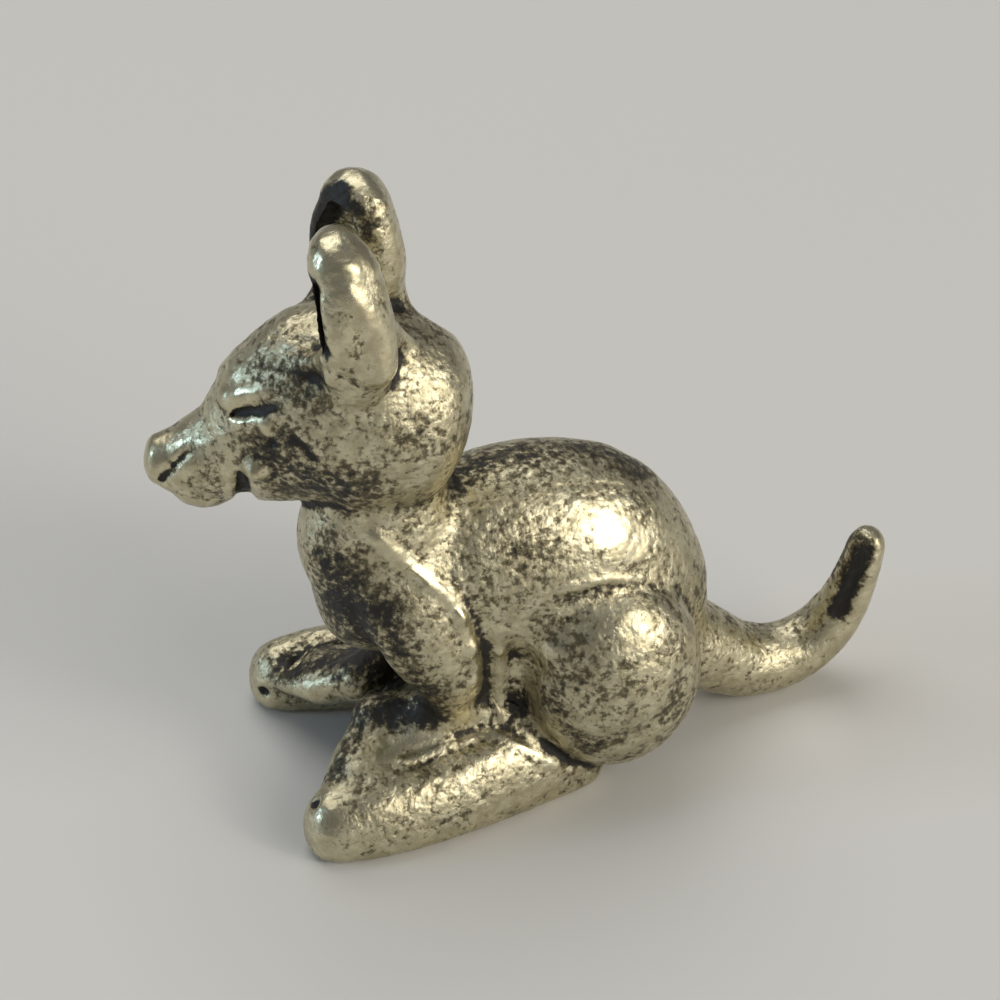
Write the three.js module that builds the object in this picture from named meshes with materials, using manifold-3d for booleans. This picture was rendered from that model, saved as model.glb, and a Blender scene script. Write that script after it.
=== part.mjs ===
// A crouching kangaroo figurine, cast in white metal as separate pieces that plug together.
// Millimetres, +Z up. The animal looks along -X, its left side is -Y, and it stands on z = 0.
import * as THREE from "three";
import { mergeVertices } from "three/addons/utils/BufferGeometryUtils.js";
import Module from "manifold-3d";

const wasm = await Module();
wasm.setup();

// Driving dimensions: the fit of the castings
const JOINT_GAP = 0.1; // solder film between two seated castings
const PEG_GAP = 0.06; // radial play of a locating peg in its socket
const PEG_TIP_GAP = 0.2; // room under the end of a peg
const FLOOR = 0;
const ROOM = 100; // side of a block that holds the whole figurine

// Driving dimensions: mesh fineness
const SIDES = 20; // round the body, the head and the thighs
const SMALL_SIDES = 12; // round pegs and small swellings
const RINGS = 3; // sections between two stations
const DOME_RINGS = 3;
const LIMB = { sides: 16, rings: 2 };
const CARVING = { sides: 8, rings: 2 };
const WELD = 1e-5; // vertices nearer than this are one

// Driving dimensions: the body casting, as oval sections from the rump to the chest and up the neck
const TRUNK = [
  { at: [5.7, 0, 4.5], wide: 2.5, tall: 2.6 },
  { at: [4.1, 0, 7.0], wide: 3.6, tall: 4.1 },
  { at: [1.8, 0, 9.1], wide: 4.0, tall: 5.0 },
  { at: [-1.2, 0, 9.8], wide: 3.7, tall: 4.75 },
  { at: [-4.2, 0, 9.8], wide: 3.3, tall: 3.7 },
  { at: [-6.5, 0, 10.0], wide: 2.7, tall: 3.1 },
];
const TRUNK_DOMES = [1.0, 1.9];
const NECK = [
  { at: [-4.6, 0, 9.0], wide: 2.8, tall: 3.2 },
  { at: [-5.5, 0, 12.0], wide: 2.8, tall: 3.5 },
  { at: [-5.8, 0, 15.0], wide: 2.3, tall: 2.6 },
];
const BELLY = [
  { at: [-0.1, 0, 8.0], wide: 3.3, tall: 3.9 },
  { at: [0.2, 0, 4.0], wide: 2.9, tall: 3.4 },
  { at: [0.6, 0, 1.0], wide: 2.1, tall: 3.2 },
];
const NECK_DOMES = [0, 0];
const BELLY_DOMES = [0, 0.5];

// Driving dimensions: the head casting, drawn about the middle of the skull
const HEAD_AT = [-5.8, 0.3, 17.0];
const HEAD_TURN = THREE.MathUtils.degToRad(-15);
const SKULL = [
  { at: [1.7, 0, 0.4], wide: 3.2, tall: 3.85 },
  { at: [0.4, 0, 0.7], wide: 3.5, tall: 4.4 },
  { at: [-1.3, 0, 0.9], wide: 3.4, tall: 4.6 },
  { at: [-3.0, 0, 0.35], wide: 2.8, tall: 3.95 },
  { at: [-4.6, 0, -0.55], wide: 2.15, tall: 2.9 },
  { at: [-5.8, 0, -1.1], wide: 1.65, tall: 2.15 },
  { at: [-7.2, 0, -1.4], wide: 1.35, tall: 1.65 },
  { at: [-8.3, 0, -1.35], wide: 0.95, tall: 1.05 },
];
const SKULL_DOMES = [2.1, 0.5];
const BROW = { at: [-4.9, 0, 1.55], radii: [1.2, 1.5, 1.05] };
const CHIN = { at: [-6.5, 0, -2.35], radii: [1.45, 1.25, 1.15] };
const EAR_ROOT = { at: [-0.6, 1.9, 3.6], radii: [1.7, 1.4, 1.5] };
const EYE_SLIT = [
  { at: [-5.25, 1.4, 1.65], wide: 0.2, tall: 0.2 },
  { at: [-4.55, 1.97, 2.2], wide: 0.36, tall: 0.28 },
  { at: [-3.85, 2.25, 2.65], wide: 0.2, tall: 0.2 },
];
const MOUTH_GROOVE = [
  { at: [-8.15, 0.85, -1.8], wide: 0.2, tall: 0.2 },
  { at: [-7.8, 1.12, -1.2], wide: 0.24, tall: 0.22 },
  { at: [-7.3, 1.14, -0.5], wide: 0.24, tall: 0.22 },
  { at: [-6.8, 1.1, -0.05], wide: 0.16, tall: 0.14 },
];
const THROAT_GROOVE = [
  { at: [-4.95, 2.08, -0.6], wide: 0.14, tall: 0.14 },
  { at: [-4.9, 1.85, -1.6], wide: 0.34, tall: 0.34 },
  { at: [-4.95, 1.25, -2.55], wide: 0.44, tall: 0.44 },
  { at: [-4.95, 0.3, -3.1], wide: 0.44, tall: 0.44 },
];
const CARVING_DOMES = [0.2, 0.2];
const NECK_PEG = { from: [-5.4, 0.2, 14.5], to: [-5.1, 0, 10.2], radius: 1.3 };

// Driving dimensions: an ear, drawn upright with its hollow to the front
const EAR_AT = [-0.35, 2.2, 3.4];
const EAR_LEAN = { left: THREE.MathUtils.degToRad(-9), right: THREE.MathUtils.degToRad(-4) };
const EAR_SPLAY = THREE.MathUtils.degToRad(-3);
const EAR_TURN = { left: THREE.MathUtils.degToRad(-8), right: THREE.MathUtils.degToRad(48) };
const EAR = [
  { at: [0, 0, 0], wide: 1.3, tall: 1.25 },
  { at: [0, 0, 1.6], wide: 1.8, tall: 1.4 },
  { at: [0, 0, 3.3], wide: 2.15, tall: 1.45 },
  { at: [0, 0, 4.6], wide: 1.95, tall: 1.3 },
  { at: [0, 0, 5.5], wide: 1.6, tall: 1.1 },
];
const EAR_DOMES = [0.4, 1.35];
const EAR_HOLLOW = [
  { at: [-0.8, 0, 1.1], wide: 0.45, tall: 0.5 },
  { at: [-1.05, 0, 2.5], wide: 1.3, tall: 1.05 },
  { at: [-1.05, 0, 4.2], wide: 1.3, tall: 1.05 },
  { at: [-0.8, 0, 5.6], wide: 0.7, tall: 0.55 },
];
const EAR_HOLLOW_DOMES = [0.4, 0.5];
const EAR_PEG = { from: [0.65, 0, 2.5], to: [0.35, 0, -0.6], radius: 0.5 };

// Driving dimensions: the limbs of the right side; the left side mirrors them
const FORELEG = [
  { at: [-5.1, 1.4, 12.4], wide: 1.2, tall: 1.9 },
  { at: [-4.9, 2.5, 10.0], wide: 1.35, tall: 2.1 },
  { at: [-4.0, 2.95, 7.2], wide: 1.15, tall: 1.5 },
  { at: [-3.7, 2.6, 5.3], wide: 1.0, tall: 1.15 },
  { at: [-4.5, 2.1, 4.1], wide: 0.95, tall: 1.05 },
  { at: [-5.7, 1.45, 3.7], wide: 1.05, tall: 1.1 },
  { at: [-6.7, 1.25, 3.5], wide: 1.0, tall: 1.0 },
];
const FORELEG_DOMES = [0.9, 0.6];
const PAW_WEB = [ // the metal that runs from the paw out on to the foot
  { at: [-4.4, 2.4, 2.8], wide: 1.3, tall: 0.8 },
  { at: [-6.1, 2.5, 2.9], wide: 1.55, tall: 0.95 },
  { at: [-7.6, 2.95, 2.65], wide: 1.5, tall: 0.9 },
];
const PAW_WEB_DOMES = [0.5, 1.0];
const FORELEG_PEG = { from: [-4.8, 3.7, 9.6], to: [-4.3, 1.6, 9.4], radius: 0.7 };
const THIGH = { at: [2.95, 3.3, 5.55], radii: [3.65, 2.75, 4.6] };
const THIGH_PEG = { from: [3.2, 4.9, 5.9], to: [3.2, 1.4, 7.0], radius: 0.9 };
const FOOT = [
  { at: [1.7, 3.15, 0.7], wide: 1.0, tall: 1.2 },
  { at: [-0.4, 3.35, 1.0], wide: 1.4, tall: 2.2 },
  { at: [-2.2, 3.55, 1.1], wide: 1.6, tall: 2.5 },
  { at: [-4.6, 3.9, 1.0], wide: 1.7, tall: 2.35 },
  { at: [-7.0, 4.2, 1.0], wide: 1.65, tall: 2.2 },
  { at: [-9.0, 4.25, 1.0], wide: 1.45, tall: 1.75 },
];
const FOOT_DOMES = [0.9, 1.2];
const FOOT_TURN = { left: 0, right: THREE.MathUtils.degToRad(5.5) }; // outwards about the heel
const FOOT_PEG = { from: [0.9, 3.4, 1.0], to: [1.9, 3.6, 4.6], radius: 0.6 };

// Driving dimensions: the tail, from its root in the rump to the curled tip
const TAIL = [
  { at: [6.0, 0, 4.2], wide: 2.2, tall: 2.2 },
  { at: [7.7, 0, 3.0], wide: 1.85, tall: 1.85 },
  { at: [9.7, 0.1, 1.6], wide: 1.6, tall: 1.6 },
  { at: [11.8, 0.15, 1.4], wide: 1.4, tall: 1.4 },
  { at: [13.5, 0.1, 2.55], wide: 1.22, tall: 1.2 },
  { at: [14.45, 0, 4.6], wide: 1.04, tall: 1.0 },
  { at: [15.0, 0, 6.7], wide: 0.86, tall: 0.8 },
];
const TAIL_DOMES = [0.3, 0.7];
const TAIL_PEG = { from: [7.7, 0, 3.1], to: [4.4, 0, 5.4], radius: 1.0 };

// Antiqued white metal
const PEWTER = { color: 0x9c9480, roughness: 0.38, metalness: 1.0 };

// A curve that runs smoothly through the stations' places or sizes, at t from 0 to 1
function smoothPath(points) {
  return new THREE.CatmullRomCurve3(points, false, "centripetal");
}

// A closed solid of oval sections along a smooth spine, with domed ends, all grown outwards by grow
function loft(stations, [startDome, endDome], { grow = 0, sides = SIDES, rings: perSpan = RINGS } = {}) {
  const spine = smoothPath(stations.map((s) => new THREE.Vector3(...s.at)));
  const girth = smoothPath(stations.map((s) => new THREE.Vector3(s.wide, s.tall, 0)));
  const steps = (stations.length - 1) * perSpan;
  const rings = [];
  const addRing = (t, scale, slide) => {
    const along = spine.getTangent(t);
    const across = new THREE.Vector3(0, 1, 0);
    across.addScaledVector(along, -across.dot(along)).normalize();
    const rise = along.clone().cross(across);
    const centre = spine.getPoint(t).addScaledVector(along, slide);
    const size = girth.getPoint(t);
    rings.push({ centre, across, rise, wide: (size.x + grow) * scale, tall: (size.y + grow) * scale });
  };
  const addDome = (t, length, outward) => {
    const reach = length + grow;
    for (let k = 1; k <= DOME_RINGS; k++) {
      const turn = ((outward > 0 ? k : DOME_RINGS + 1 - k) / (DOME_RINGS + 1)) * (Math.PI / 2);
      addRing(t, Math.cos(turn), outward * reach * Math.sin(turn));
    }
  };
  addDome(0, startDome, -1);
  for (let i = 0; i <= steps; i++) addRing(i / steps, 1, 0);
  addDome(1, endDome, 1);

  const tip = (t, length, outward) =>
    spine.getPoint(t).addScaledVector(spine.getTangent(t), outward * (length + grow));
  const points = [tip(0, startDome, -1)];
  for (const ring of rings) {
    for (let j = 0; j < sides; j++) {
      const angle = (j / sides) * 2 * Math.PI;
      const point = ring.centre.clone();
      point.addScaledVector(ring.across, ring.wide * Math.cos(angle));
      point.addScaledVector(ring.rise, ring.tall * Math.sin(angle));
      points.push(point);
    }
  }
  points.push(tip(1, endDome, 1));

  const index = [];
  const at = (ring, j) => 1 + ring * sides + (j % sides);
  const last = rings.length - 1;
  for (let j = 0; j < sides; j++) {
    index.push(0, at(0, j + 1), at(0, j));
    for (let i = 0; i < last; i++) {
      index.push(at(i, j), at(i, j + 1), at(i + 1, j + 1));
      index.push(at(i, j), at(i + 1, j + 1), at(i + 1, j));
    }
    index.push(points.length - 1, at(last, j), at(last, j + 1));
  }
  return new THREE.BufferGeometry().setFromPoints(points).setIndex(index);
}

// An egg of three radii, grown outwards by grow
function egg({ at, radii }, grow = 0, sides = SIDES) {
  const shape = new THREE.SphereGeometry(1, sides, sides / 2);
  return shape.scale(...radii.map((r) => r + grow)).translate(...at);
}

// A round locating peg; radial and tip are the room that its socket leaves
function peg({ from, to, radius }, radial = 0, tip = 0) {
  const start = new THREE.Vector3(...from);
  const run = new THREE.Vector3(...to).sub(start);
  const length = run.length() + tip;
  run.normalize();
  const shape = new THREE.CylinderGeometry(radius + radial, radius + radial, length, SMALL_SIDES);
  const turn = new THREE.Quaternion().setFromUnitVectors(new THREE.Vector3(0, 1, 0), run);
  const middle = start.addScaledVector(run, length / 2);
  return shape.applyQuaternion(turn).translate(middle.x, middle.y, middle.z);
}

const socket = (shape) => peg(shape, PEG_GAP, PEG_TIP_GAP);

// A three.js geometry as a solid that can be joined and cut
function solid(geometry, pose = null) {
  const bare = geometry.clone();
  bare.deleteAttribute("normal");
  bare.deleteAttribute("uv");
  if (pose) bare.applyMatrix4(pose);
  const merged = mergeVertices(bare, WELD);
  return new wasm.Manifold(
    new wasm.Mesh({
      numProp: 3,
      vertProperties: new Float32Array(merged.attributes.position.array),
      triVerts: new Uint32Array(merged.index.array),
    }),
  );
}

function joined(...geometries) {
  return geometries.map((g) => solid(g)).reduce((a, b) => a.add(b));
}

// A finished casting as a named mesh
function casting(name, shape) {
  const { numProp, numVert, vertProperties, triVerts } = shape.getMesh();
  const positions = new Float32Array(numVert * 3);
  for (let i = 0; i < numVert; i++) {
    positions.set(vertProperties.subarray(i * numProp, i * numProp + 3), i * 3);
  }
  const geometry = new THREE.BufferGeometry();
  geometry.setAttribute("position", new THREE.BufferAttribute(positions, 3));
  geometry.setIndex(new THREE.BufferAttribute(new Uint32Array(triVerts), 1));
  geometry.computeVertexNormals();
  const mesh = new THREE.Mesh(geometry, new THREE.MeshStandardMaterial(PEWTER));
  mesh.name = name;
  return mesh;
}

// The same stations, peg or egg on the left (-1) or right (1) side of the animal
const sided = ([x, y, z], side) => [x, side * y, z];
const sidedStations = (stations, side) => stations.map((s) => ({ ...s, at: sided(s.at, side) }));
const sidedPeg = (p, side) => ({ ...p, from: sided(p.from, side), to: sided(p.to, side) });
const sidedEgg = (e, side) => ({ ...e, at: sided(e.at, side) });

// Stations swung sideways about the first of them
function swung(stations, angle) {
  const pivot = new THREE.Vector3(...stations[0].at);
  const up = new THREE.Vector3(0, 0, 1);
  return stations.map((s) => {
    const arm = new THREE.Vector3(...s.at).sub(pivot).applyAxisAngle(up, angle);
    return { ...s, at: arm.add(pivot).toArray() };
  });
}

// Everything above the surface that the figurine stands on
const aboveFloor = solid(new THREE.BoxGeometry(ROOM, ROOM, ROOM).translate(0, 0, FLOOR + ROOM / 2));

const SIDE_NAMES = [
  ["left", -1],
  ["right", 1],
];

// The body and head as plain forms, grown outwards to make the seats that their neighbours fit against
const bodyForm = (grow = 0) =>
  joined(
    loft(TRUNK, TRUNK_DOMES, { grow }),
    loft(NECK, NECK_DOMES, { grow }),
    loft(BELLY, BELLY_DOMES, { grow }),
  );
const headForm = (grow = 0) =>
  joined(
    loft(SKULL, SKULL_DOMES, { grow }),
    egg(BROW, grow, LIMB.sides),
    egg(CHIN, grow, LIMB.sides),
    ...SIDE_NAMES.map(([, side]) => egg(sidedEgg(EAR_ROOT, side), grow, SMALL_SIDES)),
  );

const headPose = new THREE.Matrix4()
  .makeRotationZ(HEAD_TURN)
  .setPosition(new THREE.Vector3(...HEAD_AT));
const intoHead = headPose.clone().invert();

const figure = new THREE.Group();
const headGroup = new THREE.Group();
headGroup.applyMatrix4(headPose);
figure.add(headGroup);

const bodySeat = bodyForm(JOINT_GAP);
const headSeat = headForm(JOINT_GAP);

// The body has a saddle under the head and a socket for every peg that enters it
let body = bodyForm()
  .subtract(headSeat.transform(headPose.elements))
  .subtract(solid(socket(NECK_PEG)))
  .subtract(solid(socket(TAIL_PEG)));
let head = headForm().add(solid(peg(NECK_PEG), intoHead));
let tail = solid(loft(TAIL, TAIL_DOMES, LIMB)).subtract(bodySeat);

for (const [sideName, side] of SIDE_NAMES) {
  const thighEgg = sidedEgg(THIGH, side);
  const thighPeg = sidedPeg(THIGH_PEG, side);
  const thighSeat = solid(egg(thighEgg, JOINT_GAP));
  const footPeg = sidedPeg(FOOT_PEG, side);
  const footStations = swung(sidedStations(FOOT, side), -side * FOOT_TURN[sideName]);
  const footSeat = solid(loft(footStations, FOOT_DOMES, { ...LIMB, grow: JOINT_GAP }));
  const forelegPeg = sidedPeg(FORELEG_PEG, side);

  const thigh = solid(egg(thighEgg))
    .subtract(bodySeat)
    .add(solid(peg(thighPeg)))
    .subtract(solid(socket(footPeg)));
  figure.add(casting(`${sideName}_thigh`, thigh));

  const foot = solid(loft(footStations, FOOT_DOMES, LIMB))
    .subtract(thighSeat)
    .subtract(bodySeat)
    .add(solid(peg(footPeg)))
    .intersect(aboveFloor);
  figure.add(casting(`${sideName}_foot`, foot));

  const forelegForm = joined(
    loft(sidedStations(FORELEG, side), FORELEG_DOMES, LIMB),
    loft(sidedStations(PAW_WEB, side), PAW_WEB_DOMES, LIMB),
  );
  const foreleg = forelegForm
    .subtract(bodySeat)
    .subtract(footSeat)
    .add(solid(peg(forelegPeg)));
  figure.add(casting(`${sideName}_foreleg`, foreleg));

  body = body.subtract(solid(socket(thighPeg))).subtract(solid(socket(forelegPeg)));
  tail = tail.subtract(thighSeat);

  // An ear is drawn upright, then leaned, splayed and turned about its root on the head
  const earTilt = new THREE.Euler(-side * EAR_SPLAY, EAR_LEAN[sideName], EAR_TURN[sideName], "ZYX");
  const earPose = new THREE.Matrix4()
    .makeRotationFromEuler(earTilt)
    .setPosition(new THREE.Vector3(...sided(EAR_AT, side)));
  const ear = solid(loft(EAR, EAR_DOMES, LIMB))
    .subtract(solid(loft(EAR_HOLLOW, EAR_HOLLOW_DOMES, LIMB)))
    .subtract(headSeat.transform(earPose.clone().invert().elements))
    .add(solid(peg(EAR_PEG)));
  const earMesh = casting(`${sideName}_ear`, ear);
  earMesh.applyMatrix4(earPose);
  headGroup.add(earMesh);

  head = head.subtract(solid(socket(EAR_PEG), earPose));
  for (const carving of [EYE_SLIT, MOUTH_GROOVE, THROAT_GROOVE]) {
    head = head.subtract(solid(loft(sidedStations(carving, side), CARVING_DOMES, CARVING)));
  }
}

figure.add(casting("body", body));
figure.add(casting("tail", tail.add(solid(peg(TAIL_PEG))).intersect(aboveFloor)));
headGroup.add(casting("head", head));

// The frame's origin is the middle of the figurine's footprint
const extent = new THREE.Box3().setFromObject(figure, true);
const middle = extent.getCenter(new THREE.Vector3());
figure.position.set(-middle.x, -middle.y, -extent.min.z);

export default figure;
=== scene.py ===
"""A crouching kangaroo figurine in antiqued pewter, dressed over its castings.

The castings are first melted into one skin, because the soldered and tumbled figurine has no open joints.
The skin is smoothed and carved in millimetres, its recesses are blackened, shade is painted under the chest
and over the paws, and then it is parted again along the joints, so that every casting has a piece of its
own.
"""
import math

import bmesh
import bpy
import numpy as np
from mathutils import Matrix, Vector, noise
from mathutils.bvhtree import BVHTree


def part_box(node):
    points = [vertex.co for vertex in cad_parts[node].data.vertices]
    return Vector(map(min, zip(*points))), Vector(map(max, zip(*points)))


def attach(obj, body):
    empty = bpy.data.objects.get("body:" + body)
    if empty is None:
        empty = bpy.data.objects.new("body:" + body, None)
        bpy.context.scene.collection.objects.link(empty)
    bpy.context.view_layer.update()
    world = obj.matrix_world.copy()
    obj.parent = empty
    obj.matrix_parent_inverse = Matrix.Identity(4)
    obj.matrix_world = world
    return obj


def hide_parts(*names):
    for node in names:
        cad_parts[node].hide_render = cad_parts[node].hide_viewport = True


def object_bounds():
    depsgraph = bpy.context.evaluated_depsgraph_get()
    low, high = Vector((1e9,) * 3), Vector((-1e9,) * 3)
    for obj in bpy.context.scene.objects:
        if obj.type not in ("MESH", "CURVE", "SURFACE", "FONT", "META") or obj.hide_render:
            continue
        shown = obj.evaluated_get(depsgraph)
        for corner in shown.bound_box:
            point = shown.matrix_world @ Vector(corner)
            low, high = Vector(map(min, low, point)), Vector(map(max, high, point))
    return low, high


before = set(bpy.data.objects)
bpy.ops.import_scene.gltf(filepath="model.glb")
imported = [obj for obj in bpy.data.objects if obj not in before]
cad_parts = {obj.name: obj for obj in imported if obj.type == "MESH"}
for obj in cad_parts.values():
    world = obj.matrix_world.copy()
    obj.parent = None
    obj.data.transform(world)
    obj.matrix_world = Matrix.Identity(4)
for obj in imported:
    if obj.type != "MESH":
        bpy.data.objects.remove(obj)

CAD_BOX = [list(corner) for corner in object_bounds()]

# Millimetres to the frame's metres
MM = 0.001

# The skin, in millimetres
GRAIN = 0.09  # side of one quad of the skin
SOLDER = 0.07  # how far each casting swells to close its joints
LUMPS = [(0.9, 0.02), (0.3, 0.012)]  # size and height of the lumps of the cast surface
REACH = 0.6  # no skin lies further than this from its own casting

# Rounds of smoothing
MELT_ROUNDS = 4  # take the quads' steps away
CLOSE_ROUNDS = 60  # lift the bottom of a closed joint
TUMBLE_ROUNDS = 150  # take the castings' facets away
CARVE_ROUNDS = 2  # soften the carving
NORMAL_ROUNDS = 8  # keep the finest grain out of the normals
BORDER_ROUNDS = 12  # even out the borders between the castings

# Places on the figurine are given in millimetres from a point on the floor in the animal's middle plane,
# which lies this far in front of the middle of the haunches
HAUNCH_X = 2.95
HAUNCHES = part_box("left_thigh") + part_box("right_thigh")
ORIGIN = Vector((
    sum(corner[0] for corner in HAUNCHES) / 4 / MM - HAUNCH_X,
    sum(corner[1] for corner in HAUNCHES) / 4 / MM,
    0,
))

# The head's own frame: the middle of the skull, and its turn to the animal's left
HEAD_AT = Vector((-5.8, 0.3, 17.0))
HEAD_TURN = math.radians(-15)

CASTINGS = [
    "body",
    "head",
    "left_ear",
    "right_ear",
    "left_foreleg",
    "right_foreleg",
    "left_thigh",
    "right_thigh",
    "left_foot",
    "right_foot",
    "tail",
]


def casting_mesh(name, swell=0.0):
    """A casting as a closed bmesh in millimetres, swollen along its normals."""
    bm = bmesh.new()
    bm.from_mesh(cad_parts[name].data)
    bmesh.ops.scale(bm, vec=Vector((1, 1, 1)) / MM, verts=bm.verts)
    bmesh.ops.translate(bm, vec=-ORIGIN, verts=bm.verts)
    bmesh.ops.remove_doubles(bm, verts=bm.verts, dist=1e-4)
    bm.normal_update()
    for vert in bm.verts:
        vert.co += vert.normal * swell
    return bm


def remeshed(mesh, voxel):
    """The mesh's outside, as even quads."""
    carrier = bpy.data.objects.new("carrier", mesh)
    bpy.context.scene.collection.objects.link(carrier)
    remesh = carrier.modifiers.new("remesh", "REMESH")
    remesh.mode = "VOXEL"
    remesh.voxel_size = voxel
    evaluated = carrier.evaluated_get(bpy.context.evaluated_depsgraph_get())
    result = bpy.data.meshes.new_from_object(evaluated)
    bpy.data.objects.remove(carrier)
    return result


def outermost(mesh):
    """Deletes every closed bubble that isn't the outside of the figurine."""
    bm = bmesh.new()
    bm.from_mesh(mesh)
    waiting = set(bm.verts)
    largest = set()
    while waiting:
        island = set()
        front = [waiting.pop()]
        while front:
            vert = front.pop()
            island.add(vert)
            for edge in vert.link_edges:
                other = edge.other_vert(vert)
                if other in waiting:
                    waiting.discard(other)
                    front.append(other)
        if len(island) > len(largest):
            largest = island
    bmesh.ops.delete(bm, geom=[v for v in bm.verts if v not in largest], context="VERTS")
    bm.to_mesh(mesh)
    bm.free()
    return mesh


def on_head(x, y, z):
    """A point of the head's own frame, in the figurine's millimetres."""
    return Matrix.Rotation(HEAD_TURN, 3, "Z") @ Vector((x, y, z)) + HEAD_AT


def as_drawn(x, y, z):
    """A point that is in the figurine's millimetres already."""
    return Vector((x, y, z))


# The lists below have a row for each bead, mark or stain: its name, its path on the animal's left side, and
# its radius, or its width and its amount. Lengths are in millimetres. A list is laid on both sides of the
# animal or on one, and the head's lists are in the head's own frame.
BOTH = (1, -1)
LEFT = (1,)
RIGHT = (-1,)

# Paths that more than one list follows
UNDER_EYE = [(-3.9, -2.45, 1.8)]
EAR_FOOT = [(-1.45, -3.4, 4.7)]
PAW = [(-4.4, -2.7, 4.7), (-6.2, -1.9, 4.6), (-7.1, -1.4, 4.2)]
OVER_HAUNCH = [(-0.3, -3.8, 9.3), (0.5, -3.8, 9.9), (2.5, -3.9, 9.9), (4.8, -3.7, 9.4)]
HAUNCH_TO_FOOT = [(-0.4, -3.6, 3.5), (0.4, -4.5, 3.2), (1.2, -5.0, 2.6), (1.8, -5.2, 2.3)]
LEFT_TOE = [(-9.7, -4.0, 2.3)]
RIGHT_TOE = [(-9.7, -4.3, 1.2)]

# Metal that ran into the joints
HEAD_BEADS = [
    ("front of the ear", [(-2.4, -1.6, 4.3), (-1.9, -2.3, 4.7), (-1.6, -2.6, 5.3)], 0.45),
    ("under the ear's front", [(-1.8, -1.6, 4.3), (-1.4, -2.2, 4.6), (-1.2, -2.4, 5.1)], 0.6),
    ("back of the ear", [(1.5, -1.0, 4.4), (1.15, -1.4, 5.1), (0.85, -1.7, 5.8)], 0.45),
    ("under the ear's back", [(0.9, -1.2, 4.4), (0.6, -1.5, 4.9), (0.4, -1.8, 5.5)], 0.65),
]
BODY_BEADS = [
    ("paw to foot", [(-4.6, -2.6, 4.1), (-3.4, -2.75, 4.1), (-2.4, -2.6, 4.2)], 0.75),
    ("arm to flank", [(-2.7, -2.9, 8.2), (-2.5, -2.5, 6.6), (-2.5, -2.35, 5.0)], 0.55),
    ("flank", [(-1.9, -3.15, 8.7), (-1.8, -2.95, 7.6), (-1.75, -2.75, 6.3), (-1.7, -2.65, 5.0),
               (-1.6, -2.65, 3.9)], 0.5),
    ("haunch channel", [(-1.0, -2.75, 6.6), (-0.95, -2.6, 5.2), (-0.85, -2.6, 4.0)], 0.55),
    ("flank to haunch", [(-0.3, -3.35, 9.1), (-0.3, -3.2, 8.3), (-0.3, -2.95, 6.8), (-0.2, -2.9, 5.0),
                         (0.0, -2.9, 3.6)], 0.6),
    ("belly to foot", [(-2.0, -2.7, 3.9), (-1.2, -2.9, 3.7), (-0.4, -3.2, 3.4)], 0.65),
    ("over the haunch", [(-0.4, -3.5, 9.1), (0.5, -3.6, 9.75), (2.5, -3.6, 9.75), (4.8, -3.3, 9.2)], 0.35),
    ("paw over the foot", [(-5.3, -2.7, 3.8), (-4.3, -3.1, 3.7)], 0.6),
    ("paw's web", [(-7.0, -1.7, 3.4), (-7.6, -2.2, 3.0)], 0.75),
    ("web to toe", [(-8.55, -2.9, 2.4), (-8.75, -3.4, 2.2), (-8.9, -3.9, 2.0)], 0.6),
]
RIGHT_BEADS = [
    ("paw to foot", [(-4.6, -3.3, 3.9), (-3.3, -3.4, 3.9), (-2.0, -3.3, 3.9)], 0.65),
]
BEADS = [
    (HEAD_BEADS, on_head, BOTH),
    (BODY_BEADS, as_drawn, BOTH),
    (RIGHT_BEADS, as_drawn, RIGHT),
]


def add_beads(bm, rows, place, sides):
    """Each bead is a row of balls that overlap along its path."""
    for _, path, radius in rows:
        for side in sides:
            for spot in curve([place(x, y * side, z) for x, y, z in path], radius / 3):
                at = Matrix.Translation(Vector(spot))
                bmesh.ops.create_icosphere(bm, subdivisions=2, radius=radius, matrix=at)


def melted():
    """All the castings and the metal in their joints as one closed skin of even quads."""
    together = bpy.data.meshes.new("together")
    bm = bmesh.new()
    for name in CASTINGS:
        part = casting_mesh(name, SOLDER)
        part.to_mesh(together)
        part.free()
        bm.from_mesh(together)
    for rows, place, sides in BEADS:
        add_beads(bm, rows, place, sides)
    bm.to_mesh(together)
    bm.free()
    return outermost(remeshed(together, GRAIN))


def smoothstep(low, high, value):
    """A smooth change from 0 at low to 1 at high."""
    t = np.clip((value - low) / (high - low), 0, 1)
    return t * t * (3 - 2 * t)


def curve(path, spacing):
    """Points along a smooth line through the points of a path, about a spacing apart."""
    knots = np.array([tuple(point) for point in path])
    if len(knots) == 1:
        return knots
    knots = np.vstack([2 * knots[0] - knots[1], knots, 2 * knots[-1] - knots[-2]])
    found = []
    for a, b, c, d in zip(knots, knots[1:], knots[2:], knots[3:]):
        steps = max(2, math.ceil(np.linalg.norm(c - b) / spacing))
        for t in np.arange(steps) / steps:
            bend = t**2 * (2 * a - 5 * b + 4 * c - d) + t**3 * (3 * b - a - 3 * c + d)
            found.append(b + (t * (c - a) + bend) / 2)
    found.append(knots[-2])
    return np.array(found)


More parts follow.
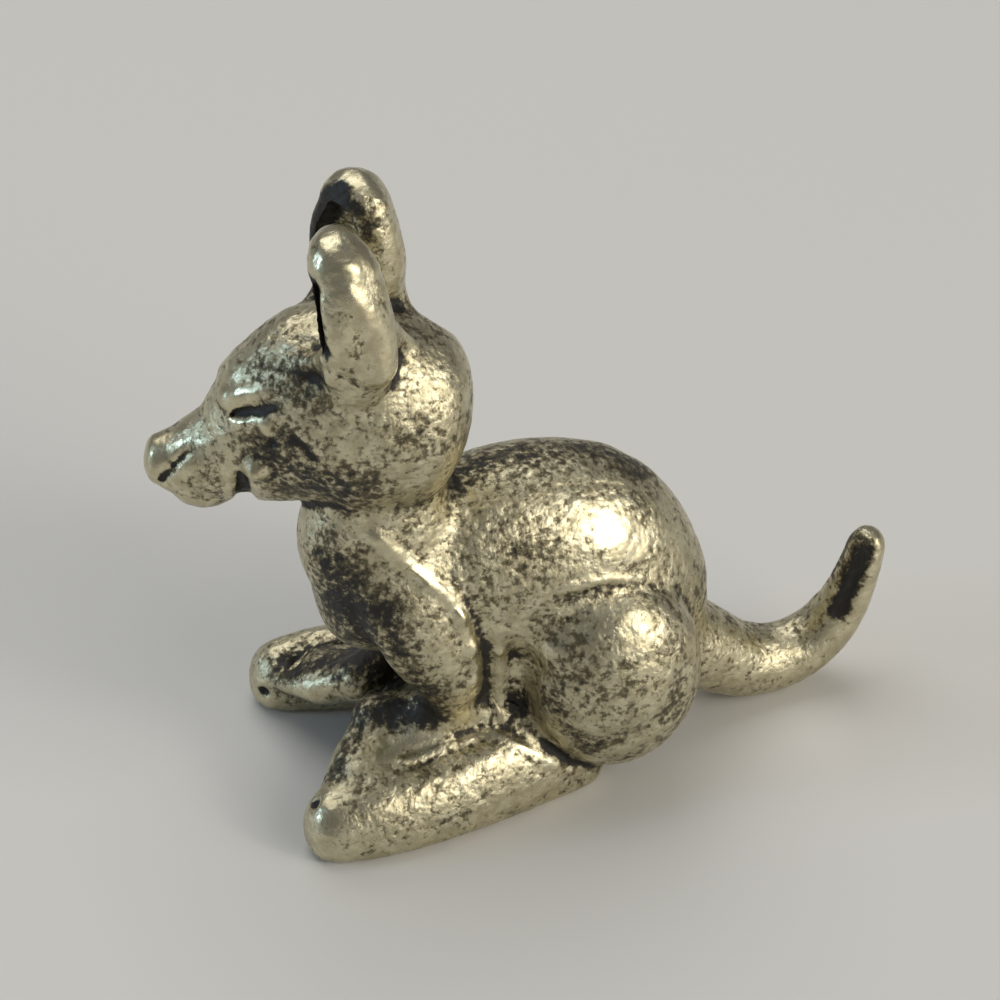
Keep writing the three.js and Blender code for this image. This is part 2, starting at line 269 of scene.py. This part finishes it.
class Skin:
    """The melted surface while it is worked: its points in millimetres, and what joins them."""

    def __init__(self, mesh):
        self.mesh = mesh
        count = len(mesh.vertices)
        points = np.empty(count * 3)
        mesh.vertices.foreach_get("co", points)
        self.points = points.reshape(-1, 3)
        ends = np.empty(len(mesh.edges) * 2, np.int32)
        mesh.edges.foreach_get("vertices", ends)
        ends = ends.reshape(-1, 2)
        both_ways = np.concatenate([ends, ends[:, ::-1]])
        both_ways = both_ways[np.argsort(both_ways[:, 0], kind="stable")]
        self.neighbours = both_ways[:, 1]
        self.degree = np.bincount(both_ways[:, 0], minlength=count)
        self.starts = np.cumsum(self.degree) - self.degree

    def normals(self):
        self.mesh.vertices.foreach_set("co", self.points.ravel())
        self.mesh.update()
        found = np.empty(self.points.size)
        self.mesh.vertex_normals.foreach_get("vector", found)
        return found.reshape(-1, 3)

    def averaged(self, values):
        """Each vertex's mean over its neighbours."""
        total = np.add.reduceat(values[self.neighbours], self.starts, axis=0)
        return (total.T / self.degree).T

    def spread(self, values, rounds, weight=0.5):
        """Values blurred over the skin, each round moving by weight of the way."""
        for _ in range(rounds):
            values = values + weight * (self.averaged(values) - values)
        return values

    def smooth(self, rounds, weight=0.5):
        """Smooths, and gives back the fullness that plain smoothing takes from round forms."""
        once = self.spread(self.points, rounds, weight)
        self.points = 2 * once - self.spread(once, rounds, weight)

    def push(self, amount):
        """Moves each point out along its normal, leaving the finest grain out of the normal."""
        steady = self.spread(self.normals(), NORMAL_ROUNDS)
        steady /= np.linalg.norm(steady, axis=1)[:, None]
        self.points = self.points + steady * amount[:, None]

    def hollowness(self, rounds):
        """How far each point lies below the skin around it, in millimetres."""
        return ((self.spread(self.points, rounds) - self.points) * self.normals()).sum(1)

    def nearest(self, point):
        """The point of the skin that is nearest to a place."""
        return self.points[((self.points - np.array(tuple(point))) ** 2).sum(1).argmin()]

    def share(self, path, width):
        """1 on a line laid over the skin, falling smoothly to 0 at a width from it."""
        line = curve([self.nearest(point) for point in path], width / 4)
        inside = (self.points > line.min(0) - width) & (self.points < line.max(0) + width)
        near = np.flatnonzero(inside.all(1))
        distance = np.full(len(near), np.inf)
        for spot in line:
            distance = np.minimum(distance, np.linalg.norm(self.points[near] - spot, axis=1))
        found = np.zeros(len(self.points))
        found[near] = 1 - smoothstep(0, width, distance)
        return found

    def lumps(self, size, octaves=3):
        """Fractal noise at the points, with lumps of about a size."""
        return np.array([noise.fractal(place, 1.0, 2.0, octaves) for place in self.points / size])


def marks(skin, lists):
    """The sum of the lines and spots of some lists over the skin."""
    total = np.zeros(len(skin.points))
    for rows, place, sides in lists:
        for _, path, width, amount in rows:
            for side in sides:
                total += amount * skin.share([place(x, y * side, z) for x, y, z in path], width)
    return total


# Carving, whose amount is a height: ridges go up and grooves go down
HEAD_CARVING = [
    ("brow", [(-5.7, -1.0, 2.2), (-5.0, -1.7, 2.85), (-4.2, -2.15, 3.2)], 0.6, 0.14),
    ("lower lid", [(-5.1, -1.5, 1.5), (-4.6, -2.0, 1.75), (-4.0, -2.35, 2.1), (-3.6, -2.5, 2.5)], 0.5, 0.08),
    ("under the eye", UNDER_EYE, 0.5, 0.12),
    ("cheek dot", [(-3.8, -2.55, 1.15)], 0.3, -0.16),
    ("cheek crease", [(-3.0, -2.85, 1.6), (-2.5, -3.05, 1.25), (-2.2, -3.1, 0.75)], 0.3, -0.1),
    ("throat", [(-5.05, -1.8, -0.9), (-5.05, -1.4, -1.8)], 0.45, -0.25),
    ("ear's crest", [(-0.9, -3.0, 9.2), (-0.8, -3.2, 8.5), (-0.4, -3.3, 7.6), (0.2, -3.3, 6.3),
                     (0.2, -3.5, 4.9)], 0.8, 0.2),
    ("ear's tip", [(-0.4, -2.2, 9.5)], 1.4, 0.2),
    ("ear's back edge", [(0.05, -2.45, 8.6), (0.35, -2.7, 7.4), (0.45, -2.8, 6.2), (0.4, -3.0, 5.1)],
     1.5, 0.5),
    ("ear's foot", [(-1.0, -3.7, 4.9), (-0.2, -3.66, 4.5), (0.5, -3.2, 4.3)], 0.5, -0.12),
]
LEFT_HEAD_CARVING = [
    ("cheek lump", [(-4.4, -2.25, -0.25)], 0.8, 0.45),
    ("ear's front foot", EAR_FOOT, 0.6, 0.22),
    ("ear's front strip", [(-2.2, -3.05, 8.3), (-2.2, -3.2, 7.8), (-2.1, -3.4, 7.1), (-1.9, -3.6, 6.1)],
     0.75, -0.38),
]
RIGHT_HEAD_CARVING = [
    ("ear's rim", [(-1.0, -1.4, 9.8), (-1.5, -1.55, 9.3), (-1.75, -1.7, 8.5), (-2.0, -2.0, 7.5)],
     0.5, -0.15),
]
BODY_CARVING = [
    ("arm ridge", [(-6.4, -2.4, 13.6), (-5.2, -2.75, 12.2), (-3.9, -3.2, 10.8), (-3.1, -3.6, 8.8),
                   (-2.75, -3.3, 5.9)], 0.6, 0.16),
    ("arm front", [(-6.9, -2.6, 11.2), (-6.4, -3.1, 8.8), (-5.6, -3.1, 7.2)], 0.9, 0.2),
    ("flank ridge", [(-1.9, -3.6, 8.8), (-1.8, -3.4, 7.6), (-1.75, -3.2, 6.3), (-1.65, -3.1, 4.2)],
     0.45, 0.12),
    ("haunch front", [(0.1, -4.2, 8.1)], 1.5, 0.3),
    ("haunch groove", [(-0.4, -3.75, 9.3), (0.5, -3.85, 10.0), (2.5, -3.9, 9.9), (4.8, -3.7, 9.4)],
     0.7, -0.06),
    ("flank edge", [(0.5, -3.75, 10.5), (2.8, -3.7, 10.5), (5.8, -2.8, 9.1)], 0.3, 0.1),
    ("hock groove", [(5.1, -5.5, 6.2), (4.4, -5.7, 4.7), (3.1, -5.9, 4.2), (1.7, -5.65, 3.9),
                     (0.6, -5.15, 4.2)], 0.9, -0.12),
    ("foot ridge", [(-6.0, -3.7, 3.1), (-3.5, -3.5, 3.4), (-2.3, -3.45, 3.55), (-1.2, -4.1, 3.2),
                    (0.2, -4.4, 2.0)], 0.4, 0.12),
    ("tail face", [(14.7, -0.8, 6.8), (14.2, -0.85, 5.5), (13.7, -0.9, 4.1)], 0.7, -0.2),
]
LEFT_CARVING = [
    ("toe dimple", LEFT_TOE, 0.42, -0.28),
    ("elbow lump", [(-3.55, -3.5, 10.0)], 0.55, 0.16),
    ("forearm lump", [(-3.15, -3.75, 8.4)], 0.65, 0.2),
    ("wrist lump", [(-3.05, -3.75, 6.7)], 0.5, 0.14),
    ("flank lump", [(-1.85, -3.4, 7.6)], 0.4, 0.1),
]
RIGHT_CARVING = [
    ("toe dimple", RIGHT_TOE, 0.4, -0.25),
]
CARVING = [
    (HEAD_CARVING, on_head, BOTH),
    (LEFT_HEAD_CARVING, on_head, LEFT),
    (RIGHT_HEAD_CARVING, on_head, RIGHT),
    (BODY_CARVING, as_drawn, BOTH),
    (LEFT_CARVING, as_drawn, LEFT),
    (RIGHT_CARVING, as_drawn, RIGHT),
]

# Joints that the melting and the tumbling closed, whose amount is the share of the smoothing they get
CLOSED_HEAD_JOINTS = [
    ("ear's foot", [(-1.2, -3.2, 3.8), (0.2, -3.3, 3.7)], 1.0, 1),
    ("front of the ear", [(-2.6, -1.6, 4.9), (-2.2, -2.3, 5.2), (-1.8, -2.7, 5.7)], 0.9, 0.8),
    ("back of the ear", [(1.6, -1.1, 4.8), (1.4, -1.5, 5.4), (1.1, -1.8, 6.1)], 1.4, 0.9),
    ("eye", [(-5.0, -1.6, 1.85), (-4.4, -1.95, 2.2), (-3.7, -2.3, 2.6)], 0.5, 0.8),
]
CLOSED_JOINTS = [
    ("shoulder", [(-3.8, -2.35, 12.5), (-2.9, -1.1, 13.8)], 1.4, 1),
    ("arm front", [(-7.0, -2.4, 12.4), (-5.4, -3.1, 11.4), (-6.2, -2.9, 9.2)], 1.3, 1),
    ("arm to flank", [(-2.7, -3.3, 8.6), (-2.4, -2.9, 6.6), (-2.3, -2.6, 5.0)], 0.7, 0.7),
    ("flank to haunch", [(-0.6, -3.7, 8.6), (-0.6, -3.5, 6.8), (-0.4, -3.3, 5.0), (0.0, -3.2, 3.6)], 0.9, 1),
    ("haunch front", [(0.1, -4.2, 8.8), (-0.1, -4.2, 7.6)], 0.9, 1),
    ("over the haunch", OVER_HAUNCH, 1.0, 1),
    ("paw to foot", [(-4.6, -3.0, 4.0), (-3.4, -3.3, 4.0), (-2.4, -3.0, 4.2)], 0.9, 1),
    ("belly to foot", [(-2.0, -3.0, 3.9), (-1.2, -3.2, 3.7), (-0.4, -3.5, 3.4)], 0.8, 1),
    ("haunch to foot", HAUNCH_TO_FOOT, 0.7, 0.8),
    ("paw's web", [(-4.8, -2.8, 3.5), (-7.4, -2.2, 3.4), (-8.6, -3.0, 2.8), (-9.1, -3.7, 2.5)], 1.0, 1),
    ("web to ridge", [(-7.4, -3.4, 3.0), (-5.6, -3.3, 3.3), (-3.8, -3.2, 3.5)], 0.8, 1),
]
CLOSED = [
    (CLOSED_JOINTS, as_drawn, BOTH),
    (CLOSED_HEAD_JOINTS, on_head, BOTH),
]

# What the tumbling spares: creases by their depth, with some skin around them, and the muzzle and the ears
# by their place on the head
CREASE_ROUNDS = 30  # smoothing that finds the creases
CREASE_DEPTH = (0.012, 0.05)
CREASE_MARGIN = 5  # quads
CREASE_BLUR = 10  # rounds
MUZZLE_X = (-2.5, -5.0)
MUZZLE_Z = (-4.5, -3.0)
EARS_Z = (3.6, 5.0)
SPARED = 0.9  # share of the tumbling that the muzzle and the ears are spared
LEAST = 0.02  # share that every place gets


def close_joints(skin):
    """Plain smoothing along the joints, which lifts the bottom of a crease."""
    closed = np.clip(marks(skin, CLOSED), 0, 1)
    skin.points = skin.spread(skin.points, CLOSE_ROUNDS, 0.5 * closed[:, None])
    return closed


def tumble(skin, closed):
    """Smooths the castings' facets away, and leaves the creases and the fine forms."""
    crease = smoothstep(*CREASE_DEPTH, skin.hollowness(CREASE_ROUNDS))
    for _ in range(CREASE_MARGIN):
        crease = np.maximum(crease, skin.averaged(crease))
    open_skin = 1 - np.clip(skin.spread(crease, CREASE_BLUR), 0, 1)
    open_skin = np.maximum(open_skin, closed)
    local = (skin.points - np.array(HEAD_AT)) @ np.array(Matrix.Rotation(HEAD_TURN, 3, "Z"))
    muzzle = smoothstep(*MUZZLE_X, local[:, 0]) * smoothstep(*MUZZLE_Z, local[:, 2])
    ears = smoothstep(*EARS_Z, local[:, 2])
    open_skin *= 1 - SPARED * np.maximum(muzzle, ears)
    skin.smooth(TUMBLE_ROUNDS, 0.5 * np.clip(open_skin, LEAST, 1)[:, None])


def carve(skin):
    skin.push(marks(skin, CARVING))
    skin.points = skin.spread(skin.points, CARVE_ROUNDS)


def worked_skin():
    """The finished surface, kept inside the castings' own box."""
    skin = Skin(melted())
    skin.points = skin.spread(skin.points, MELT_ROUNDS)
    tumble(skin, close_joints(skin))
    skin.push(np.full(len(skin.points), -SOLDER))
    carve(skin)
    skin.push(sum(height * skin.lumps(size) for size, height in LUMPS))
    low, high = [np.array(corner) / MM - np.array(ORIGIN) for corner in CAD_BOX]
    skin.points = np.clip(skin.points, low, high)
    return skin


def owners(skin):
    """The number of the casting that each point of the skin belongs to: the nearest one."""
    nearest = np.full(len(skin.points), np.inf)
    owner = np.zeros(len(skin.points), np.int32)
    for number, name in enumerate(CASTINGS):
        bm = casting_mesh(name)
        tree = BVHTree.FromBMesh(bm)
        corners = np.array([v.co for v in bm.verts])
        bm.free()
        close = (skin.points > corners.min(0) - REACH) & (skin.points < corners.max(0) + REACH)
        for i in np.flatnonzero(close.all(1)):
            distance = tree.find_nearest(skin.points[i])[3]
            if distance < nearest[i]:
                nearest[i] = distance
                owner[i] = number
    return owner


def settled(skin, owner):
    """The owners after their borders have been evened out over the skin."""
    belongs = np.eye(len(CASTINGS))[owner]
    return skin.spread(belongs, BORDER_ROUNDS).argmax(1)


# Where the black stayed and where shade is painted, and, with a negative amount, where metal was rubbed
# bright
LEFT_HEAD_STAINS_AND_SHADE = [
    ("ear's front foot", EAR_FOOT, 0.5, -0.4),
    # Painted shade: the near ear's front strip is patina and painted shade of the ear's hollow, laid onto
    # the head beside it
    ("ear's front strip", [(-2.2, -3.0, 8.6), (-2.2, -3.2, 7.9), (-2.1, -3.4, 7.1), (-1.9, -3.6, 6.1)],
     0.75, 1.3),
]
LEFT_STAINS_AND_SHADE = [
    ("toe dimple", LEFT_TOE, 0.3, 1.0),
    # Painted shade on the near paw, which lies under the chest
    ("paw", PAW, 1.3, 0.2),
]
RIGHT_STAINS = [
    ("toe dimple", RIGHT_TOE, 0.3, 1.0),
    ("foot", [(-8.6, -4.6, 2.4), (-6.5, -3.2, 3.6)], 2.2, 0.4),
]
RIGHT_HEAD_STAINS_AND_SHADE = [
    ("ear's back", [(-0.1, -0.8, 9.3), (0.4, -0.8, 8.0), (0.7, -0.9, 6.5)], 1.2, 0.65),
    # Painted shade: the far ear's rim is darkened as painted shade of the ear's hollow, over patina
    ("ear's rim", [(-1.0, -1.3, 9.7), (-1.45, -1.5, 9.2), (-1.7, -1.65, 8.5), (-1.95, -1.9, 7.5)], 0.9, 1.6),
]
HEAD_STAINS_AND_SHADE = [
    # The eye is patina in the slit and a painted shadow under the brow
    ("eye", [(-5.1, -1.5, 1.9), (-4.4, -1.95, 2.2), (-3.6, -2.4, 2.65)], 0.28, 0.8),
    ("under the eye", UNDER_EYE, 0.5, -0.25),
    ("cheek", [(-3.2, -2.8, 0.6), (-1.5, -3.2, -0.6)], 2.6, 0.42),
    ("jaw", [(-3.4, -2.4, -1.4)], 1.4, 0.2),
    ("forehead", [(-3.5, -1.5, 3.3), (-2.6, -2.4, 4.0)], 1.8, 0.28),
    ("brow", [(-5.5, -0.9, 2.8)], 0.8, -0.4),
    ("nose", [(-8.4, -0.6, -0.7)], 0.9, -0.3),
    ("cheek lump", [(-4.4, -2.25, -0.2)], 0.6, -0.4),
    ("back of the head", [(1.8, -2.6, 1.6)], 2.4, 0.28),
    ("nape", [(1.8, -2.0, -2.0)], 1.6, 0.26),
    ("ear", [(-1.0, -2.9, 9.6), (-0.6, -3.3, 8.4), (-0.1, -3.3, 7.0), (0.2, -3.4, 5.5)], 1.0, -0.35),
]
BODY_STAINS_AND_SHADE = [
    # The chest is speckled patina and painted shade under the head
    ("chest", [(-8.3, -1.7, 11.8), (-7.6, -2.3, 9.2)], 2.5, 0.48),
    ("arm front", [(-6.4, -3.1, 10.5), (-5.4, -3.6, 7.5), (-4.7, -3.6, 5.6)], 1.8, 0.38),
    ("withers", [(-0.8, -3.0, 12.2)], 2.0, 0.15),
    ("web", [(-7.6, -2.4, 3.4), (-8.4, -3.0, 2.9)], 1.0, 0.38),
    ("arm ridge", [(-6.0, -2.5, 13.2), (-4.5, -3.0, 11.4), (-3.3, -3.5, 9.3), (-2.9, -3.4, 6.2)], 0.6, -0.4),
    # Painted shade under the chest, between the forelegs and the feet
    ("under the chest", [(-5.0, 0.0, 5.0)], 3.2, 0.35),
    # Painted shade over the paws, which lie under the chest
    ("paws", PAW, 1.3, 0.4),
    ("flank", [(-2.2, -3.4, 8.6), (-1.9, -3.1, 6.6), (-1.8, -2.9, 4.2)], 1.3, -0.12),
    ("foot ridge", [(-6.4, -3.2, 3.3), (-5.0, -3.2, 3.5), (-3.8, -3.1, 3.6), (-2.5, -3.2, 3.8)], 0.8, -0.35),
    ("haunch corner", [(-0.1, -4.05, 7.9)], 0.6, -0.35),
    ("haunch channel", [(-0.8, -3.3, 7.8), (-0.8, -3.0, 5.6), (-0.6, -2.8, 4.0)], 0.8, -0.3),
    ("over the haunch", OVER_HAUNCH, 0.6, 0.12),
    ("haunch front", [(0.9, -5.0, 7.4), (0.5, -5.1, 6.2)], 1.5, 0.2),
    ("haunch foot", [(-0.1, -4.5, 6.0), (0.2, -5.0, 4.7), (1.3, -5.3, 3.3)], 1.1, 0.3),
    ("haunch back", [(4.0, -5.6, 7.2)], 2.0, 0.14),
    ("hock groove", [(5.2, -5.4, 5.8), (4.3, -5.75, 4.8), (3.2, -5.9, 4.2), (1.8, -5.6, 3.8)], 1.0, 0.1),
    ("hock", [(5.2, -5.0, 4.0), (3.0, -5.2, 2.6)], 1.0, 0.25),
    ("haunch to foot", HAUNCH_TO_FOOT, 0.6, -0.25),
    ("foot side", [(-8.0, -5.4, 1.2), (-4.0, -5.3, 1.2)], 1.8, 0.08),
    ("foot's edge", [(-6.0, -5.2, 0.6), (-2.5, -5.2, 1.2), (0.0, -5.1, 1.4)], 0.5, -0.25),
    ("hump", [(2.4, -2.7, 12.7), (3.8, -2.9, 11.6)], 1.2, -0.35),
    ("spine", [(-2.0, 0.0, 14.3), (2.0, 0.0, 14.8), (5.0, 0.0, 13.0)], 1.8, 0.2),
    ("tail face", [(14.6, -0.7, 6.8), (14.1, -0.8, 5.5), (13.6, -0.85, 4.1)], 1.0, 0.8),
]
STAINS_AND_SHADE = [
    (HEAD_STAINS_AND_SHADE, on_head, BOTH),
    (LEFT_HEAD_STAINS_AND_SHADE, on_head, LEFT),
    (RIGHT_HEAD_STAINS_AND_SHADE, on_head, RIGHT),
    (BODY_STAINS_AND_SHADE, as_drawn, BOTH),
    (LEFT_STAINS_AND_SHADE, as_drawn, LEFT),
    (RIGHT_STAINS, as_drawn, RIGHT),
]

# Recesses that hold the black: the rounds of smoothing that find them, the depths at which it starts and is
# full, and its amount. A raised edge has a negative depth, and is rubbed.
RECESSES = [
    ("pits", 8, 0.003, 0.018, 0.2),
    ("creases", 50, 0.012, 0.08, 0.5),
    ("hollows", 300, 0.06, 0.35, 0.5),
    ("edges", 50, 0.0, -0.06, -0.3),
]
MOST_RUBBED = -0.4


def tarnish_and_shade(skin):
    """How black each point is, painted shade included, from below 0 on rubbed metal to 1 in the recesses."""
    found = marks(skin, STAINS_AND_SHADE)
    for _, rounds, start, full, amount in RECESSES:
        found += amount * smoothstep(start, full, skin.hollowness(rounds))
    return np.clip(found, MOST_RUBBED, 1)


def parted(skin, owner, black_and_shade):
    """Cuts the skin along the partings and closes each piece over its joint."""
    quads = np.empty(len(skin.mesh.loops), np.int32)
    skin.mesh.loops.foreach_get("vertex_index", quads)
    quads = quads.reshape(-1, 4)
    face_owner = np.sort(owner[quads], axis=1)[:, 1]
    normals = skin.normals()
    pieces = {}
    for number, name in enumerate(CASTINGS):
        kept, faces = np.unique(quads[face_owner == number], return_inverse=True)
        part = bpy.data.meshes.new(name + "_casting")
        part.from_pydata((skin.points[kept] + np.array(ORIGIN)) * MM, [], faces.reshape(-1, 4).tolist())
        part.attributes.new("tarnish_and_shade", "FLOAT", "POINT").data.foreach_set("value", black_and_shade[kept])
        facing = part.attributes.new("facing", "FLOAT_VECTOR", "POINT")
        facing.data.foreach_set("vector", normals[kept].ravel())
        close_piece(part)
        shade_over_joint(part)
        pieces[name] = bpy.data.objects.new(name + "_casting", part)
        bpy.context.scene.collection.objects.link(pieces[name])
    return pieces


def close_piece(mesh):
    """Fills a piece's open side, and marks the faces that lie in the joint."""
    bm = bmesh.new()
    bm.from_mesh(mesh)
    joint = bm.faces.layers.int.new("joint")
    rim = [edge for edge in bm.edges if edge.is_boundary]
    caps = bmesh.ops.holes_fill(bm, edges=rim, sides=0)["faces"]
    for face in bmesh.ops.triangulate(bm, faces=caps)["faces"]:
        face[joint] = 1
    for face in bm.faces:
        face.smooth = True
    bm.to_mesh(mesh)
    bm.free()


def shade_over_joint(mesh):
    """Gives a piece the whole skin's normals, so that the shading runs on over the partings."""
    facing = np.empty(len(mesh.vertices) * 3, np.float32)
    mesh.attributes["facing"].data.foreach_get("vector", facing)
    corner = np.empty(len(mesh.loops), np.int32)
    mesh.loops.foreach_get("vertex_index", corner)
    normals = facing.reshape(-1, 3)[corner]
    in_joint = np.empty(len(mesh.polygons), np.int32)
    mesh.attributes["joint"].data.foreach_get("value", in_joint)
    for i in np.flatnonzero(in_joint):
        face = mesh.polygons[i]
        normals[list(face.loop_indices)] = face.normal
    mesh.normals_split_custom_set(normals)
    for name in ("facing", "joint"):
        mesh.attributes.remove(mesh.attributes[name])


def add(tree, kind, inputs=None, **settings):
    """A shader node with its settings, and its inputs set to numbers or linked to sockets."""
    node = tree.nodes.new(kind)
    for name, value in settings.items():
        setattr(node, name, value)
    for name, value in (inputs or {}).items():
        if isinstance(value, bpy.types.NodeSocket):
            tree.links.new(value, node.inputs[name])
        else:
            node.inputs[name].default_value = value
    return node


def sums(tree, operation, a, b):
    """The result of a sum on two numbers or sockets."""
    return add(tree, "ShaderNodeMath", {0: a, 1: b}, operation=operation).outputs[0]


def fade(tree, value, low, high, to_low=0.0, to_high=1.0):
    """A smooth change from to_low, where the value is low, to to_high, where it is high."""
    inputs = {"Value": value, "From Min": low, "From Max": high, "To Min": to_low, "To Max": to_high}
    return add(tree, "ShaderNodeMapRange", inputs, interpolation_type="SMOOTHSTEP").outputs["Result"]


def blended(tree, factor, a, b):
    """The mix of two colours, each given as numbers or as a socket."""
    node = add(tree, "ShaderNodeMix", data_type="RGBA")
    sockets = {"Factor_Float": factor, "A_Color": a, "B_Color": b}
    for socket in node.inputs:
        value = sockets.get(socket.identifier)
        if isinstance(value, bpy.types.NodeSocket):
            tree.links.new(value, socket)
        elif value is not None:
            socket.default_value = value
    return [socket for socket in node.outputs if socket.identifier == "Result_Color"][0]


# Linear colours of the finish, the stain and painted shade at which the metal turns brown and then black,
# and the tarnish and shade value between polished and plain metal
WORN = (0.66, 0.61, 0.43, 1)
DULL = (0.5, 0.45, 0.3, 1)
BROWN = (0.11, 0.092, 0.054, 1)
BLACK = (0.014, 0.012, 0.009, 1)
BROWN_AT = (0.46, 0.64)
BLACK_AT = (0.64, 0.8)
POLISHED_AT = (-0.35, 0.1)
PIT_DEPTH = 0.14  # millimetres


def cast_grain():
    """The shader group of the cast surface: its stain with painted shade, its mottling and its dips."""
    group = bpy.data.node_groups.new("cast_grain", "ShaderNodeTree")
    socket = group.interface.new_socket
    socket("Place", in_out="INPUT", socket_type="NodeSocketVector")
    socket("Tarnish_and_shade", in_out="INPUT", socket_type="NodeSocketFloat")
    for name in ("Stain_and_shade", "Mottle", "Height"):
        socket(name, in_out="OUTPUT", socket_type="NodeSocketFloat")
    given = group.nodes.new("NodeGroupInput")
    result = group.nodes.new("NodeGroupOutput")

    def speckle(per_mm, detail, roughness):
        inputs = {
            "Vector": given.outputs["Place"],
            "Scale": per_mm / MM,
            "Detail": detail,
            "Roughness": roughness,
        }
        return add(group, "ShaderNodeTexNoise", inputs).outputs["Fac"]

    clouds = fade(group, speckle(0.5, 2.0, 0.5), 0.3, 0.7, -0.06, 0.06)
    reach = sums(group, "ADD", sums(group, "MULTIPLY", given.outputs["Tarnish_and_shade"], 0.45), clouds)
    grit = speckle(3.4, 5.0, 0.66)
    stain_and_shade = sums(group, "ADD", grit, reach)
    group.links.new(stain_and_shade, result.inputs["Stain_and_shade"])
    group.links.new(speckle(1.6, 3.0, 0.6), result.inputs["Mottle"])
    dips = sums(group, "SUBTRACT", speckle(2.4, 1.5, 0.5), sums(group, "MULTIPLY", grit, 0.6))
    unworn = fade(group, given.outputs["Tarnish_and_shade"], *POLISHED_AT, 0.25, 1.0)
    group.links.new(sums(group, "MULTIPLY", dips, unworn), result.inputs["Height"])
    return group


def pewter():
    """Pale worn metal with brown and black in its pits and recesses, and painted shade under the chest and
    paws.
    """
    material = bpy.data.materials.new("antiqued_pewter")
    material.use_nodes = True
    tree = material.node_tree
    shader = tree.nodes["Principled BSDF"]
    grain = add(tree, "ShaderNodeGroup", node_tree=cast_grain())
    tree.links.new(add(tree, "ShaderNodeTexCoord").outputs["Object"], grain.inputs["Place"])
    stained_and_shaded = add(tree, "ShaderNodeAttribute", attribute_name="tarnish_and_shade").outputs["Fac"]
    tree.links.new(stained_and_shaded, grain.inputs["Tarnish_and_shade"])
    stain_and_shade = grain.outputs["Stain_and_shade"]
    mottle = grain.outputs["Mottle"]
    browned = fade(tree, stain_and_shade, *BROWN_AT, 0.0, 0.9)
    deepest = sums(tree, "ADD", stain_and_shade, sums(tree, "MULTIPLY", stained_and_shaded, 0.2))
    blackened = fade(tree, deepest, *BLACK_AT)
    metal = blended(tree, fade(tree, mottle, 0.35, 0.65), WORN, DULL)
    stained = blended(tree, browned, metal, BROWN)
    tree.links.new(blended(tree, blackened, stained, BLACK), shader.inputs["Base Color"])
    tree.links.new(fade(tree, blackened, 0, 1, 1.0, 0.25), shader.inputs["Metallic"])
    gloss = fade(tree, mottle, 0.3, 0.7, 0.02, 0.12)
    dulled = sums(tree, "ADD", gloss, fade(tree, stained_and_shaded, *POLISHED_AT, 0.2, 0.28))
    roughness = sums(tree, "ADD", dulled, sums(tree, "MULTIPLY", browned, 0.15))
    tree.links.new(roughness, shader.inputs["Roughness"])
    dips = {"Height": grain.outputs["Height"], "Strength": 0.7, "Distance": PIT_DEPTH * MM}
    bump = add(tree, "ShaderNodeBump", dips)
    tree.links.new(bump.outputs["Normal"], shader.inputs["Normal"])
    return material


# The studio, in metres: the floor, and each lamp's name, place, side, watts and colour
FLOOR_REACH = 0.6
FLOOR_COLOUR = (0.64, 0.63, 0.61, 1)
LAMPS = [
    ("window", (0.48, -0.54, 0.36), 0.67, 3.5, (1.0, 0.95, 0.86)),
    ("key", (0.42, -0.45, 0.31), 0.11, 0.66, (1.0, 0.95, 0.82)),
    ("fill", (-0.6, 0.1, 0.21), 0.19, 0.9, (0.55, 0.78, 1.0)),
    ("top", (-0.08, 0.4, 0.8), 0.8, 3.8, (1.0, 0.98, 0.94)),
]
LAMPS_AIM = Vector((0, 0, 0.012))


def stage_floor():
    bm = bmesh.new()
    bmesh.ops.create_grid(bm, x_segments=1, y_segments=1, size=FLOOR_REACH)
    mesh = bpy.data.meshes.new("floor")
    bm.to_mesh(mesh)
    bm.free()
    floor = bpy.data.objects.new("floor", mesh)
    bpy.context.scene.collection.objects.link(floor)
    material = bpy.data.materials.new("pale_floor")
    material.use_nodes = True
    shader = material.node_tree.nodes["Principled BSDF"]
    shader.inputs["Base Color"].default_value = FLOOR_COLOUR
    shader.inputs["Roughness"].default_value = 0.6
    mesh.materials.append(material)


def softbox(name, at, size, watts, colour):
    """A square lamp that faces the middle of the figurine."""
    lamp = bpy.data.lights.new(name, "AREA")
    lamp.size = size
    lamp.energy = watts
    lamp.color = colour
    holder = bpy.data.objects.new(name, lamp)
    holder.location = at
    toward = LAMPS_AIM - Vector(at)
    holder.rotation_euler = toward.to_track_quat("-Z", "Y").to_euler()
    bpy.context.scene.collection.objects.link(holder)


def studio():
    for name, at, size, watts, colour in LAMPS:
        softbox(name, at, size, watts, colour)
    world = bpy.data.worlds.new("studio")
    world.use_nodes = True
    background = world.node_tree.nodes["Background"]
    background.inputs["Color"].default_value = (0.8, 0.8, 0.8, 1)
    background.inputs["Strength"].default_value = 0.25
    bpy.context.scene.world = world


# The photograph's camera: where it looks, from which side and how far, and its long lens
AIM = (Vector((-0.77, 0, 12.45)) + ORIGIN) * MM
AZIMUTH = math.radians(-17)
ELEVATION = math.radians(38)
DISTANCE = 0.15
LENS = 137.7


def camera():
    data = bpy.data.cameras.new("camera")
    data.lens = LENS
    data.sensor_width = 36
    data.clip_start = 0.01
    holder = bpy.data.objects.new("camera", data)
    back = Vector((
        math.sin(AZIMUTH) * math.cos(ELEVATION),
        -math.cos(AZIMUTH) * math.cos(ELEVATION),
        math.sin(ELEVATION),
    ))
    holder.location = AIM + back * DISTANCE
    holder.rotation_euler = back.to_track_quat("Z", "Y").to_euler()
    bpy.context.scene.collection.objects.link(holder)
    bpy.context.scene.camera = holder


bpy.context.scene.view_settings.view_transform = "Standard"
camera()
stage_floor()
studio()
skin = worked_skin()
pieces = parted(skin, settled(skin, owners(skin)), tarnish_and_shade(skin))
finish = pewter()
for name, piece in pieces.items():
    piece.data.materials.append(finish)
    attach(piece, "root")
    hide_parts(name)
